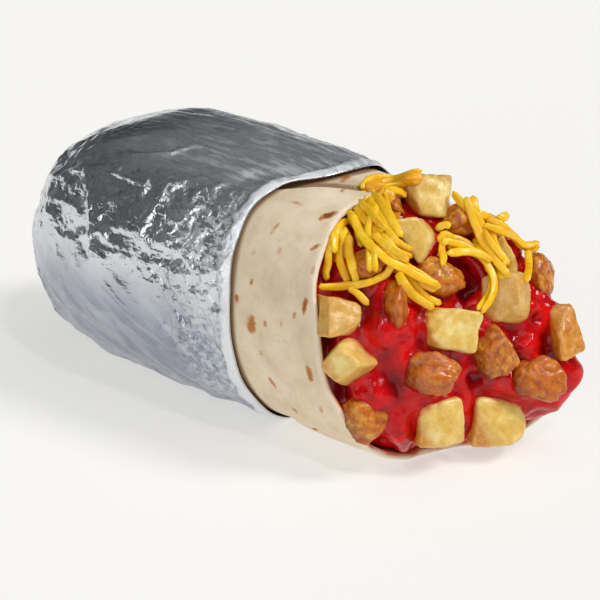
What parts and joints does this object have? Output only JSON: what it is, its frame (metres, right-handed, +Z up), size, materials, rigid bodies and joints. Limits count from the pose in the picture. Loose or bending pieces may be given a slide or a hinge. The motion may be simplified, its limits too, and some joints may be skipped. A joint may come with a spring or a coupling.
{
  "type": "burrito",
  "caption": "Stuffed flour-tortilla burrito lying on its side, closed end in a crumpled foil sleeve, open end heaped with sauce, diced potato, sausage crumbles and shredded cheese.",
  "frame": {"origin": "under the middle of the whole burrito, on the surface that it lies on", "axes": "+X along the roll from its closed foil end to its open end, +Z up, so the side that shows the open end best is towards -Y"},
  "size_m": [0.1721, 0.081, 0.0762],
  "materials": {
    "foil": "crumpled bright aluminium foil",
    "tortilla": "matte soft flour tortilla with toasted spots",
    "sauce": "wet glossy red sauce",
    "potato": "cooked potato with golden fried faces",
    "sausage": "browned sausage crumbles, slightly greasy",
    "cheese": "softened shredded cheddar"
  },
  "bodies": {
    "root": {"foil_wrap": "foil", "tortilla": "tortilla", "potato_1": "potato", "potato_2": "potato", "potato_3": "potato", "potato_4": "potato", "potato_5": "potato", "potato_6": "potato", "potato_7": "potato", "potato_8": "potato", "potato_9": "potato", "potato_10": "potato", "potato_11": "potato", "potato_12": "potato", "sausage_1": "sausage", "sausage_2": "sausage", "sausage_3": "sausage", "sausage_4": "sausage", "sausage_5": "sausage", "sausage_6": "sausage", "sausage_7": "sausage", "sausage_8": "sausage", "sausage_9": "sausage", "sausage_10": "sausage", "sausage_11": "sausage", "filling": "sauce", "cheese_left": "cheese", "cheese_right": "cheese"}
  },
  "joints": []
}
